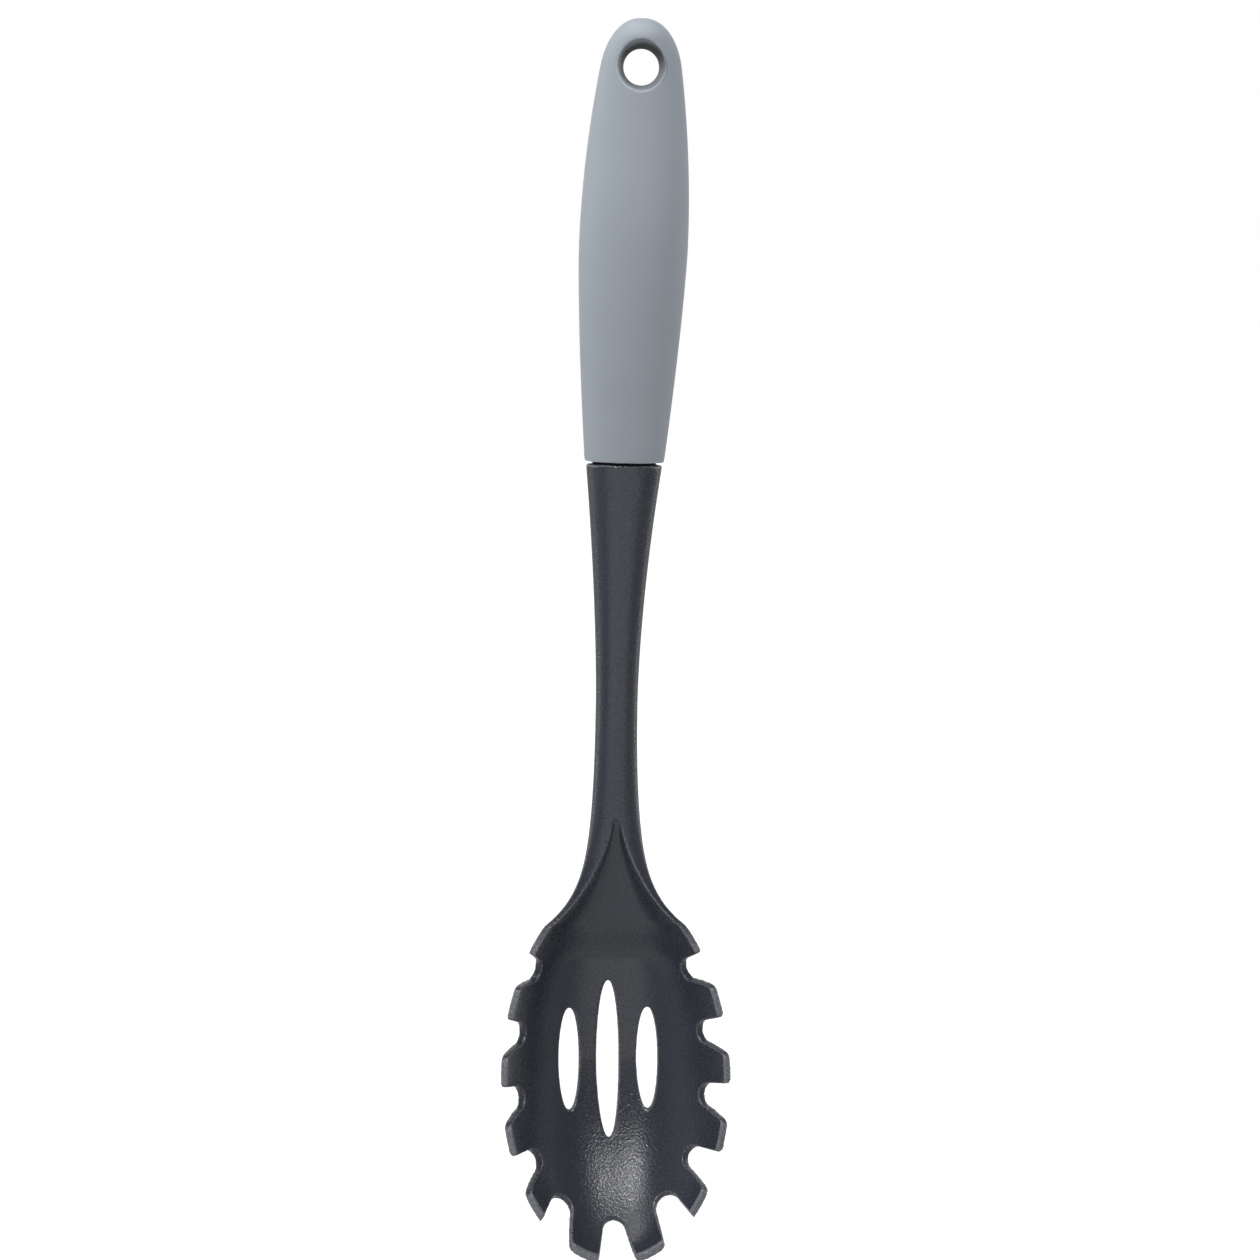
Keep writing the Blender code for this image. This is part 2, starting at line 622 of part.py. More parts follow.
def build_notches():
    # The corners that face the shank are rounded on the side prongs, and both on the prongs at the tip.
    side_level = NOTCH_DEPTH / math.sin(WALL_LEAN) + SIDE_RIM_SHIFT
    end_level = NOTCH_DEPTH / math.sin(END_WALL_LEAN) + END_RIM_SHIFT
    corner_level = CORNER_NOTCH_DEPTH / math.sin(END_WALL_LEAN) + END_RIM_SHIFT
    sharp = notch_half(NOTCH_ROUND, NOTCH_FLARE, side_level, 0)
    soft = notch_half(NOTCH_ROUND, NOTCH_FLARE, side_level, PRONG_ROUND)
    tip = notch_half(NOTCH_ROUND, NOTCH_FLARE, end_level, TIP_PRONG_ROUND)
    outer = notch_half(CORNER_NOTCH_ROUND, CORNER_NOTCH_FLARE, corner_level, 0)
    inner = notch_half(CORNER_NOTCH_ROUND, CORNER_NOTCH_FLARE, corner_level, TIP_PRONG_ROUND)
    bm = bmesh.new()
    for i in range(SIDE_NOTCHES):
        mouth = SIDE_NOTCH_FIRST + i * SIDE_NOTCH_PITCH
        heading = egg_heading(mouth)
        along = mouth - NOTCH_DEPTH / math.tan(WALL_LEAN) * math.sin(heading)
        add_notch(bm, wall_point(1, along, NOTCH_DEPTH), heading, WALL_LEAN, (sharp, soft))
        add_notch(bm, wall_point(-1, along, NOTCH_DEPTH), math.pi - heading, WALL_LEAN, (soft, sharp))
    foot = (CORNER_NOTCH_ALONG, CORNER_NOTCH_DEPTH)
    heading = CORNER_NOTCH_HEADING
    add_notch(bm, wall_point(1, *foot), heading, END_WALL_LEAN, (outer, inner))
    add_notch(bm, wall_point(-1, *foot), math.pi - heading, END_WALL_LEAN, (inner, outer))
    end = RIM_BELOW_WIDEST * math.sqrt(1 - (NOTCH_DEPTH / BOWL_DEPTH) ** (1 / DEPTH_COURSE))
    add_notch(bm, widest_line(end) + BOWL_IN * NOTCH_DEPTH, math.pi / 2, END_WALL_LEAN, (tip, tip))
    return add_object("notches", bm)


def build_slots():
    bm = bmesh.new()
    places = [(0, MIDDLE_SLOT_LENGTH, MIDDLE_SLOT_WIDTH),
              (-SLOT_SPACING, SIDE_SLOT_LENGTH, SIDE_SLOT_WIDTH),
              (SLOT_SPACING, SIDE_SLOT_LENGTH, SIDE_SLOT_WIDTH)]
    turns = [2 * math.pi * i / HOLE_STEPS for i in range(HOLE_STEPS)]
    for across, length, width in places:
        centre = WIDEST + Vector((across, 0, 0))
        half_length = RIM_DOWN * (length / 2)
        half_width = Vector((width / 2, 0, 0))
        outline = [centre + half_width * math.cos(turn) + half_length * math.sin(turn) for turn in turns]
        add_prism(bm, outline, BOWL_IN * (BOWL_DEPTH / 2), BOWL_IN * (BOWL_DEPTH * 3 / 2))
    return add_object("slots", bm)


def build_head(material):
    inset = GRIP_SKIN + CLEARANCE
    collar_size = (handle_half_width(JOINT_Z, inset), handle_half_depth(JOINT_Z, inset))
    collar = [oval(z, *collar_size, GRIP_CURVE, HEAD_HALF_RING) for z in (COLLAR_TOP_Z, SHANK_TOP_Z)]
    tang = [tang_ring(z, 0, HEAD_HALF_RING) for z in (TANG_TIP_Z, COLLAR_TOP_Z)]
    stub = tang + [collar[0], slanted(collar[1])]
    head = loft("server_head", stub + shank_rings() + bowl_rings(), material)
    combine(head, loft("bowl_hollow", hollow_rings()), "DIFFERENCE")
    # The exact solver leaves open edges round the notches and the slots.
    combine(head, build_notches(), "DIFFERENCE", "MANIFOLD")
    combine(head, build_slots(), "DIFFERENCE", "MANIFOLD")
    holes = bmesh.new()
    for centre in pin_centres():
        add_cylinder(holes, centre, -TANG_DEPTH, TANG_DEPTH, PIN_DIAMETER / 2 + CLEARANCE)
    combine(head, add_object("tang_holes", holes), "DIFFERENCE")
    weld(head)


def build():
    clear_scene()
    build_head(moulded("charcoal nylon", NYLON_COLOUR, 0.5))
    hard = moulded("grey polypropylene", CORE_COLOUR, 0.45)
    build_core("core_front", -1, hard)
    build_core("core_back", 1, hard)
    build_grip(moulded("blue grey soft skin", SKIN_COLOUR, 0.65))


build()
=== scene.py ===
import math

import bmesh
import bpy
from mathutils import Matrix, Vector


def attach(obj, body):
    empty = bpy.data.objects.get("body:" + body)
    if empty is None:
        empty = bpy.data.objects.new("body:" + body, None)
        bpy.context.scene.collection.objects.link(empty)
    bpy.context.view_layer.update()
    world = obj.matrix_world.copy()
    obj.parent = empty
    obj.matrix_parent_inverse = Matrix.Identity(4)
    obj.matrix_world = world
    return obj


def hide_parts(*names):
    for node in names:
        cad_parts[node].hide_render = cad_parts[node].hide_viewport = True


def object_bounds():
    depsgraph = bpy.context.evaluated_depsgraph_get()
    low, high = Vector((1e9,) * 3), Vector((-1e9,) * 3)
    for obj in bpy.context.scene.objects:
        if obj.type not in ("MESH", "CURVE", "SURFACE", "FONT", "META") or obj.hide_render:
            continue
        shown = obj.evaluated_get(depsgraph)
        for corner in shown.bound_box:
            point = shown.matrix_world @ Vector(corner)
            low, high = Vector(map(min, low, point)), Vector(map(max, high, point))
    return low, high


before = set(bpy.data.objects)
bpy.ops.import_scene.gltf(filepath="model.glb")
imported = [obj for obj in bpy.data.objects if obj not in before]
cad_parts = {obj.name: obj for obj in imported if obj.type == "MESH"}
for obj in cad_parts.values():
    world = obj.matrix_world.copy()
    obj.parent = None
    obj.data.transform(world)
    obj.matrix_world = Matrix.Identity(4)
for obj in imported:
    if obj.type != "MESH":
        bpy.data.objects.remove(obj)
cadLow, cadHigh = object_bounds()
print("frame loaded")

mm = 0.001


def mix(a, b, share):
    return a + (b - a) * share


def rounded(u, power, root):
    return max(0.0, 1 - abs(u) ** power) ** (1 / root)


def course(parts, t):
    return sum(share * t ** power for share, power in parts)


def smoothValue(knots, x):
    # Smooth curve through (x, value) knots that never overshoots them.
    if x <= knots[0][0]:
        return knots[0][1]
    if x >= knots[-1][0]:
        return knots[-1][1]
    slopes = [(b[1] - a[1]) / (b[0] - a[0]) for a, b in zip(knots, knots[1:])]
    inner = [0.0 if a * b <= 0 else 2 * a * b / (a + b) for a, b in zip(slopes, slopes[1:])]
    tangents = [slopes[0]] + inner + [slopes[-1]]
    i = max(k for k in range(len(slopes)) if x >= knots[k][0])
    width = knots[i + 1][0] - knots[i][0]
    t = (x - knots[i][0]) / width
    start = (2 * t ** 3 - 3 * t ** 2 + 1) * knots[i][1] + (t ** 3 - 2 * t ** 2 + t) * width * tangents[i]
    end = (3 * t ** 2 - 2 * t ** 3) * knots[i + 1][1] + (t ** 3 - t ** 2) * width * tangents[i + 1]
    return start + end


def loft(bm, stations, segments, place):
    # Every ring starts as a circle, is pulled into its section and bridged to the one before.
    rings = []
    for station in stations:
        verts = bmesh.ops.create_circle(bm, cap_ends=False, radius=1.0, segments=segments)["verts"]
        for vert in verts:
            vert.co = place(station, vert.co.x, vert.co.y)
        rings.append(list({edge for vert in verts for edge in vert.link_edges}))
    for near, far in zip(rings, rings[1:]):
        bmesh.ops.bridge_loops(bm, edges=near + far)
    bmesh.ops.edgeloop_fill(bm, edges=rings[0])
    bmesh.ops.edgeloop_fill(bm, edges=rings[-1])


def newPiece(name, bm):
    # The bmesh is in millimetres, the piece in metres.
    bmesh.ops.scale(bm, vec=(mm, mm, mm), verts=bm.verts)
    bmesh.ops.recalc_face_normals(bm, faces=bm.faces)
    mesh = bpy.data.meshes.new(name)
    bm.to_mesh(mesh)
    bm.free()
    piece = bpy.data.objects.new(name, mesh)
    bpy.context.scene.collection.objects.link(piece)
    return piece


def combine(piece, tool, operation):
    modifier = piece.modifiers.new(tool.name, "BOOLEAN")
    modifier.operation = operation
    modifier.solver = "MANIFOLD"
    modifier.object = tool
    applyModifiers(piece)
    bpy.data.objects.remove(tool)


def applyModifiers(piece):
    graph = bpy.context.evaluated_depsgraph_get()
    mesh = bpy.data.meshes.new_from_object(piece.evaluated_get(graph))
    piece.modifiers.clear()
    piece.data = mesh
    mesh.name = piece.name


def soften(piece, settings):
    # One even skin over the cuts; smoothing it rounds every edge as a mould does.
    remesh = piece.modifiers.new("skin", "REMESH")
    remesh.mode = "VOXEL"
    remesh.voxel_size = settings["voxel"] * mm
    remesh.use_smooth_shade = True
    smooth = piece.modifiers.new("edges", "SMOOTH")
    smooth.factor = 0.5
    smooth.iterations = settings["smoothing"]
    applyModifiers(piece)
    triangles = sum(len(face.vertices) - 2 for face in piece.data.polygons)
    thin = piece.modifiers.new("thin", "DECIMATE")
    thin.ratio = min(1.0, settings["triangles"] / triangles)
    applyModifiers(piece)
    piece.data.shade_smooth()
    markEdges(piece)
    print(piece.name, triangles, "triangles thinned to", len(piece.data.polygons))


def markEdges(piece):
    # How sharply the skin bends outwards, per millimetre: the materials paint a highlight on their edges by it.
    bm = bmesh.new()
    bm.from_mesh(piece.data)
    layer = bm.verts.layers.float.new("edge")
    for vert in bm.verts:
        ways = [edge.other_vert(vert).co - vert.co for edge in vert.link_edges]
        middle = sum(ways, Vector()) / len(ways)
        reach = sum(way.length_squared for way in ways) / len(ways)
        vert[layer] = -2 * mm * middle.dot(vert.normal) / reach
    bm.to_mesh(piece.data)
    bm.free()


# The head: tang, collar, shank and bowl, one nylon moulding

head = {
    "jointZ": -106.4,
    "groove": 0.8,
    "slant": 0.09,                  # rise of the joint towards the front, gone after "slantFade"
    "slantFade": 10.5,
    "shankTop": (21.3, 12.5),       # width, depth
    "neck": (11.9, 8.6),
    "neckBelow": 67.0,
    "neckCourse": 1.65,
    "frontShares": (0.49, 0.46),    # of the shank's depth, in front of its widest line at the joint and the neck
    "backShares": (0.51, 0.54),
    "shoulderBelow": 127.2,
    "shoulderForward": 23.35,
    "rimTilt": 21.7,
    "drawTilt": 11.5,
    "tiltCourse": 1.5,
    "bowlWidth": 64.7,
    "bowlDepth": 22.0,
    "depthShares": (0.57, 0.845),   # of that, at the shoulder and where the bowl has settled
    "settled": 0.7,                 # where that is, as a share of the shoulder's distance
    "endRoot": 1.5,                 # root of the bowl's long section, whose power is 2
    "backCurves": ((2.4, 3.0), (2.0, 1.2)),     # power and root of the section, each from shank to bowl
    "frontCurve": (3.0, 2.0),
    "hollowCurves": ((4.0, 3.0), (1.2, 1.2)),
    "rimAbove": 53.0,
    "rimBelow": 52.3,
    "shoulderAbove": 40.65,
    "shoulderCourse": ((0.36, 2.5), (0.64, 8.0)),
    "eggCourse": (1.85, 2.15),      # outline's exponent towards the shank and towards the tip
    "archAbove": 69.5,
    "archTip": 2.2,
    "archFront": 3.0,
    "archBack": 5.1,
    "archRamp": (8.0, 5.2),         # length, wall left at its end
    "archCourse": ((0.9, 1.6), (0.1, 8.0)),
    "rimBand": 1.7,
    "tipBand": 2.4,
    "floorWall": 2.4,
    "wallLean": 65.0,
    "endWallLean": 52.0,
    "overlap": 0.4,
    "ring": 160,
    "shankSteps": 90,
    "bowlSteps": 110,
    "lastTurn": 87.0,
    "hollowRing": 152,              # other counts than the body's, so that no faces coincide
    "hollowSteps": 103,
    "archSteps": 40,
    "voxel": 0.38,
    "smoothing": 4,
    "triangles": 190000,
}
shankTopZ = head["jointZ"] - head["groove"]
rimTilt = math.radians(head["rimTilt"])
drawTilt = math.radians(head["drawTilt"])
rimDown = Vector((0, -math.sin(rimTilt), -math.cos(rimTilt)))
rimOut = Vector((0, -math.cos(rimTilt), math.sin(rimTilt)))
bowlIn = Vector((0, math.cos(drawTilt), -math.sin(drawTilt)))
shoulder = Vector((0, -head["shoulderForward"], shankTopZ - head["shoulderBelow"]))
widest = shoulder + rimDown * head["shoulderAbove"]
shankPower = math.tan(rimTilt) * head["shoulderBelow"] / head["shoulderForward"]
shankStart = -head["shoulderBelow"] - head["shoulderAbove"]
innerEnd = head["rimBelow"] - head["tipBand"]


def slanted(point, fromJoint):
    fade = max(0.0, 1 - fromJoint / head["slantFade"])
    return point - Vector((0, 0, point.y * head["slant"] * fade))


def eggHalfWidth(along, shrink=0.0):
    if along < 0:
        share = (-along / (head["rimAbove"] - shrink)) ** head["eggCourse"][0]
    else:
        share = (along / (head["rimBelow"] - shrink)) ** head["eggCourse"][1]
    return (head["bowlWidth"] / 2 - shrink) * math.sqrt(max(0.0, 1 - share))


def eggHeading(along):
    # Direction square to the outline, 0 pointing sideways
    step = 0.1
    return math.atan((eggHalfWidth(along - step) - eggHalfWidth(along + step)) / (2 * step))


def shankHalfWidth(share):
    neckAt = head["neckBelow"] / head["shoulderBelow"]
    if share < neckAt:
        return mix(head["neck"][0], head["shankTop"][0], (1 - share / neckAt) ** head["neckCourse"]) / 2
    t = (share - neckAt) / (1 - neckAt)
    return mix(head["neck"][0] / 2, eggHalfWidth(-head["shoulderAbove"]), course(head["shoulderCourse"], t))


def frontHeight(along):
    joint, neck = head["frontShares"]
    knots = [(shankStart, head["shankTop"][1] * joint), (shankStart + head["neckBelow"], head["neck"][1] * neck),
             (-head["archAbove"], head["archFront"]),
             (-head["shoulderAbove"], head["rimBand"] / math.tan(math.radians(head["wallLean"])))]
    return smoothValue(knots, along)


def backDepth(along):
    depth = head["bowlDepth"]
    if along >= 0:
        return depth * endShare(along, head["rimBelow"])
    joint, neck = head["backShares"]
    shoulderShare, settledShare = head["depthShares"]
    knots = [(shankStart, head["shankTop"][1] * joint), (shankStart + head["neckBelow"], head["neck"][1] * neck),
             (-head["archAbove"], head["archBack"]), (-head["shoulderAbove"], depth * shoulderShare),
             (-head["shoulderAbove"] * head["settled"], depth * settledShare), (0, depth)]
    return smoothValue(knots, along)


def endShare(along, end):
    return max(0.0, 1 - (along / end) ** 2) ** (1 / head["endRoot"])


def bowlShare(along):
    share = smoothValue([(-head["archAbove"], 0), (-head["shoulderAbove"], 1)], along)
    return share * share * (3 - 2 * share)


def widestLine(along):
    if along >= -head["shoulderAbove"]:
        return widest + rimDown * along
    share = 1 + (along + head["shoulderAbove"]) / head["shoulderBelow"]
    return Vector((0, -head["shoulderForward"] * share ** shankPower, shankTopZ - head["shoulderBelow"] * share))


def curvesAt(curves, share):
    return [mix(shank, bowl, share) for shank, bowl in curves]


def headPoint(along, u, side):
    # u runs from -1 to 1 across the section; side is positive on its back.
    share = bowlShare(along)
    half = head["bowlWidth"] / 2
    if along < -head["shoulderAbove"]:
        down = 1 + (along + head["shoulderAbove"]) / head["shoulderBelow"]
        halfWidth = shankHalfWidth(down)
        tilt = drawTilt * math.sin(math.pi / 2 * down ** head["tiltCourse"])
    else:
        halfWidth = eggHalfWidth(along)
        tilt = drawTilt
    inward = Vector((0, math.cos(tilt), -math.sin(tilt)))
    origin = widestLine(along) + Vector((u * halfWidth, 0, 0))
    if side > 0:
        point = origin + inward * backDepth(along) * rounded(u, *curvesAt(head["backCurves"], share))
    else:
        radius = math.sqrt(max(0.0, 1 - (halfWidth / half) ** 2) + (u * halfWidth / half) ** 2)
        band = min(1.0, max(0.0, 1 - radius) * half / head["rimBand"])
        point = origin - inward * frontHeight(along) * mix(rounded(u, *head["frontCurve"]), band, share)
    return slanted(point, along - shankStart)


def bowlStations(start, end, count):
    # Closer together towards the tip, and a few degrees of the egg's arc short of it
    first = math.asin(start / head["rimAbove"])
    turns = [mix(first, math.radians(head["lastTurn"]), i / count) for i in range(count + 1)]
    return [math.sin(turn) * (head["rimAbove"] if turn < 0 else end) for turn in turns]


def makeHeadBody():
    bm = bmesh.new()
    steps = head["shankSteps"]
    shank = [shankStart + head["shoulderBelow"] * math.sin(math.pi / 2 * i / steps) for i in range(steps)]
    stations = shank + bowlStations(-head["shoulderAbove"], head["rimBelow"], head["bowlSteps"])
    loft(bm, stations, head["ring"], headPoint)
    return newPiece("serverHead", bm)


def hollowPoint(station, u, side):
    along, halfWidth = station
    origin = widestLine(along) + Vector((u * halfWidth, 0, 0))
    if side <= 0:
        return origin - bowlIn * head["bowlDepth"] / 2
    if along > 0:
        floor = (head["bowlDepth"] - head["floorWall"]) * endShare(along, innerEnd)
    else:
        whole = head["archFront"] + head["archBack"]
        rampLength, rampWall = head["archRamp"]
        knots = [(-head["archAbove"] - head["archTip"], whole + head["floorWall"] / 2), (-head["archAbove"], whole),
                 (-head["archAbove"] + rampLength, rampWall),
                 (-head["shoulderAbove"] * head["settled"], head["floorWall"])]
        floor = backDepth(along) - smoothValue(knots, along)
    rim = frontHeight(along) + head["overlap"]
    return origin + bowlIn * mix(-rim, floor, rounded(u, *curvesAt(head["hollowCurves"], bowlShare(along))))


def innerHalfWidth(along):
    if along < 0:
        return eggHalfWidth(along, head["rimBand"])
    share = (along / innerEnd) ** head["eggCourse"][1]
    return (head["bowlWidth"] / 2 - head["rimBand"]) * math.sqrt(max(0.0, 1 - share))


def makeHollow():
    bm = bmesh.new()
    tip = head["archTip"] / 2
    shoulderWidth = innerHalfWidth(-head["shoulderAbove"])
    stations = [(-head["archAbove"] - head["archTip"], tip)]
    for i in range(head["archSteps"]):
        share = i / head["archSteps"]
        along = -mix(head["archAbove"], head["shoulderAbove"], share)
        stations.append((along, mix(tip, shoulderWidth, course(head["archCourse"], share))))
    for along in bowlStations(-head["shoulderAbove"], innerEnd, head["hollowSteps"]):
        stations.append((along, innerHalfWidth(along)))
    loft(bm, stations, head["hollowRing"], hollowPoint)
    return newPiece("hollowTool", bm)


notches = {
    "depth": 10.2,
    "round": 3.2,
    "flare": 12.5,
    "height": 15.0,
    "inside": 5.5,
    "outside": 4.5,
    "sides": 4,
    "sideFirst": -28.8,
    "sidePitch": 18.6,
    "deeper": 0.7,                  # the side notches get deeper towards the tip
    "sideCorners": (0.9, 2.8),      # a side prong's corners towards the tip and towards the shank
    "tipCorners": (1.5, 1.8),       # of the lowest side prong and of the prongs at the tip
    "cornerAlong": 37.4,
    "cornerDepth": 10.8,
    "cornerHeading": 64.0,
    "cornerRound": 3.6,
    "cornerFlare": 10.5,
    "levelShifts": (-0.2, -0.3),    # at a prong's corner the curved rim lies this much lower: sides, tip
    "arcSteps": 14,
    "cornerSteps": 10,
}


def wallPoint(sign, along, depth):
    # Place on the outer wall where it is so deep
    power, root = curvesAt(head["backCurves"], 1)
    share = min(1.0, depth / backDepth(along))
    across = sign * (1 - share ** root) ** (1 / power) * eggHalfWidth(along)
    return widestLine(along) + bowlIn * depth + Vector((across, 0, 0))


def spinPoint(bm, vert, centre, angle, steps):
    arc = bmesh.ops.spin(bm, geom=[vert], cent=centre, axis=(0, 0, 1), angle=angle, steps=steps)
    return [item for item in arc["geom_last"] if isinstance(item, bmesh.types.BMVert)][0]


def drawTo(bm, vert, across, up):
    grown = bmesh.ops.extrude_vert_indiv(bm, verts=[vert])["verts"][0]
    grown.co = (across, up, 0)
    return grown


def drawHalf(bm, start, way, radius, flare, level, slope, corner):
    # From the middle of a notch's floor: round floor, flared wall, prong's corner up to the rim's line, and out.
    turn = math.pi / 2 - flare
    last = spinPoint(bm, start, (0, radius, 0), way * turn, notches["arcSteps"])
    across, up = abs(last.co.x), last.co.y
    if not corner:
        return drawTo(bm, last, way * (across + (notches["height"] - up) * math.tan(flare)), notches["height"])
    rise = (level - corner + corner * math.sin(flare) - up) * math.tan(flare)
    pivot = (across + rise + corner * math.cos(flare)) / (1 - slope * math.tan(flare))
    centre = level + slope * pivot - corner
    last = drawTo(bm, last, way * (pivot - corner * math.cos(flare)), centre + corner * math.sin(flare))
    turn -= math.atan(slope)
    last = spinPoint(bm, last, (way * pivot, centre, 0), -way * turn, notches["cornerSteps"])
    return drawTo(bm, last, last.co.x, notches["height"])


def makeNotch(foot, heading, lean, radius, flare, shift, corners):
    # A U drawn in its own plane, stood square to the wall and pushed through it.
    plan = Vector((math.cos(heading), 0, 0)) + rimDown * math.sin(heading)
    out = plan * math.sin(lean) + bowlIn * math.cos(lean)
    up = plan * math.cos(lean) - bowlIn * math.sin(lean)
    level = (widest - foot).dot(rimOut) / up.dot(rimOut) + shift
    slope = -out.cross(up).dot(rimOut) / up.dot(rimOut)
    bm = bmesh.new()
    start = bm.verts.new((0, 0, 0))
    tips = [drawHalf(bm, start, way, radius, math.radians(flare), level, way * slope, corner)
            for way, corner in zip((-1, 1), corners)]
    bm.edges.new(tips)
    face = bmesh.ops.contextual_create(bm, geom=list(bm.edges))["faces"][0]
    place = Matrix((out.cross(up), up, out)).transposed().to_4x4()
    place.translation = foot - out * notches["inside"]
    bmesh.ops.transform(bm, matrix=place, verts=bm.verts)
    grown = bmesh.ops.extrude_face_region(bm, geom=[face])["geom"]
    moved = [item for item in grown if isinstance(item, bmesh.types.BMVert)]
    bmesh.ops.translate(bm, verts=moved, vec=out * (notches["inside"] + notches["outside"]))
    return newPiece("notchTool", bm)


def cutPair(piece, foot, heading, shape, corners):
    low, high = corners
    combine(piece, makeNotch(wallPoint(1, *foot), heading, *shape, (low, high)), "DIFFERENCE")
    combine(piece, makeNotch(wallPoint(-1, *foot), math.pi - heading, *shape, (high, low)), "DIFFERENCE")


def cutNotches(piece):
    lean = math.radians(head["wallLean"])
    endLean = math.radians(head["endWallLean"])
    sideShift, endShift = notches["levelShifts"]
    for i in range(notches["sides"]):
        mouth = notches["sideFirst"] + i * notches["sidePitch"]
        depth = notches["depth"] + notches["deeper"] * (i / (notches["sides"] - 1)) ** 3
        heading = eggHeading(mouth)
        along = mouth - depth / math.tan(lean) * math.sin(heading)
        shape = (lean, notches["round"], notches["flare"], sideShift)
        cutPair(piece, (along, depth), heading, shape, notches["sideCorners"])
    shape = (endLean, notches["cornerRound"], notches["cornerFlare"], endShift)
    cutPair(piece, (notches["cornerAlong"], notches["cornerDepth"]), math.radians(notches["cornerHeading"]), shape,
            notches["tipCorners"])
    depth, corner = notches["depth"], notches["tipCorners"][1]
    end = head["rimBelow"] * math.sqrt(1 - (depth / head["bowlDepth"]) ** head["endRoot"])
    shape = (endLean, notches["round"], notches["flare"], endShift)
    tip = widestLine(end) + bowlIn * depth
    combine(piece, makeNotch(tip, math.pi / 2, *shape, (corner, corner)), "DIFFERENCE")


slots = {
    "middle": (0.0, 44.4, 6.5),     # across, length, width
    "sides": [(-11.3, 29.0, 6.0), (11.3, 29.0, 6.0)],
    "segments": 96,
}


def makeSlots():
    bm = bmesh.new()
    for across, length, width in [slots["middle"]] + slots["sides"]:
        verts = bmesh.ops.create_circle(bm, cap_ends=True, radius=1.0, segments=slots["segments"])["verts"]
        near = widest + Vector((across, 0, 0)) + bowlIn * head["bowlDepth"] / 2
        for vert in verts:
            vert.co = near + Vector((vert.co.x * width / 2, 0, 0)) + rimDown * (vert.co.y * length / 2)
        face = verts[0].link_faces[0]
        grown = bmesh.ops.extrude_face_region(bm, geom=[face])["geom"]
        moved = [item for item in grown if isinstance(item, bmesh.types.BMVert)]
        bmesh.ops.translate(bm, verts=moved, vec=bowlIn * head["bowlDepth"])
    return newPiece("slotTool", bm)


# The handle's outer form, shared by the soft skin and by the collar that fills its mouth

grip = {
    "above": 12.4,
    "below": 106.4,
    "widths": (21.8, 29.65, 22.1),  # at the hole, palm and joint
    "depths": (11.8, 19.6, 14.0),
    "palmBelow": 48.0,
    "endRound": 13.0,
    "endCurves": (2.4, 2.0),        # of the end's rounding, seen from the front and from the side
    "endGap": 0.02,                 # the last ring stays this short of the end, so that it isn't a point
    "skin": 2.0,
    "curve": 2.2,
    "holeWaist": 9.4,
    "holeMouth": 13.3,
    "holeLean": (5.0, 5.5),         # degrees that the hole's mouth in front stands higher and further to the left
    "holeShift": (0, 0, -0.25),
    "holeSleeve": 13.2,             # the soft skin lines the hole as a sleeve
    "courses": (1.42, 2.0, 1.2),    # exponents: joint to palm, palm to hole, hole's flare
    "ring": 144,
    "steps": 150,
    "holeRing": 96,
    "holeSteps": 20,                # from the waist to the face; the tool runs on for a quarter of that
    "voxel": 0.34,
    "smoothing": 5,
    "triangles": 150000,
}


def endRounding(z, inset, length, power):
    left = max(0.0, (grip["above"] - inset - z) / length)
    return rounded(max(0.0, 1 - left), power, power)


def gripHalfWidth(z, inset):
    hole, palm, joint = grip["widths"]
    if z < -grip["palmBelow"]:
        share = max(0.0, (z + grip["below"]) / (grip["below"] - grip["palmBelow"]))
        width = mix(joint, palm, 1 - (1 - share) ** grip["courses"][0])
    else:
        width = mix(palm, hole, (1 + z / grip["palmBelow"]) ** grip["courses"][1])
    return (width / 2 - inset) * endRounding(z, inset, grip["endRound"], grip["endCurves"][0])


def gripHalfDepth(z, inset):
    hole, palm, joint = grip["depths"]
    knots = [(-grip["below"], joint), (-grip["palmBelow"], palm), (0, hole), (grip["above"], hole)]
    return (smoothValue(knots, z) / 2 - inset) * endRounding(z, inset, hole / 2, grip["endCurves"][1])


def ovalPoint(z, halfWidth, halfDepth, u, side):
    return Vector((u * halfWidth, math.copysign(halfDepth * rounded(u, grip["curve"], grip["curve"]), side), z))


def gripBody(name, low, inset):
    bm = bmesh.new()
    high = grip["above"] - inset - grip["endGap"]
    stations = [mix(low, high, math.sin(math.pi / 2 * i / grip["steps"])) for i in range(grip["steps"] + 1)]

    def place(z, u, side):
        point = ovalPoint(z, gripHalfWidth(z, inset), gripHalfDepth(z, inset), u, side)
        return slanted(point, z - low) if inset == 0 else point

    loft(bm, stations, grip["ring"], place)
    return newPiece(name, bm)


def leanHole(bm):
    # The photo shows the hole's front mouth higher and further to the left than its waist.
    tilt, turn = (math.radians(angle) for angle in grip["holeLean"])
    bmesh.ops.rotate(bm, verts=bm.verts, cent=(0, 0, 0),
                     matrix=Matrix.Rotation(-turn, 3, "Z") @ Matrix.Rotation(-tilt, 3, "X"))
    bmesh.ops.translate(bm, verts=bm.verts, vec=grip["holeShift"])


